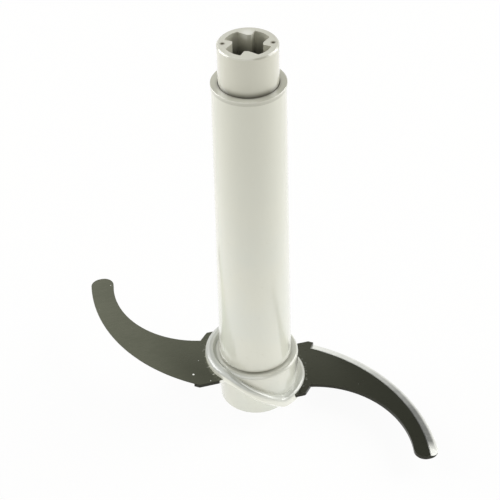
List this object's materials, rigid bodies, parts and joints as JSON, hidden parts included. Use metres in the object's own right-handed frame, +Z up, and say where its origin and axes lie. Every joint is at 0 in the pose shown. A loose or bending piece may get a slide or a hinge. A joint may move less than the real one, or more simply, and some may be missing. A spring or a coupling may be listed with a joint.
{
  "type": "food processor blade",
  "caption": "Chopping blade for a small food processor bowl: a tall hollow plastic stem with a toothed drive socket on top and curved steel blades at staggered heights.",
  "frame": {"origin": "centre of the foot's bottom face", "axes": "+Z up the stem to the drive socket, +X along the lower blade's tab; the upper blade's tab points to -X"},
  "size_m": [0.087, 0.095, 0.1253],
  "materials": {
    "core_plastic": "satin, warm light grey",
    "sleeve_plastic": "satin, warm light grey",
    "blade_steel": "polished stainless steel with a ground edge"
  },
  "bodies": {
    "root": {"core": "core_plastic", "sleeve": "sleeve_plastic", "lower_blade": "blade_steel", "upper_blade": "blade_steel"}
  },
  "joints": []
}
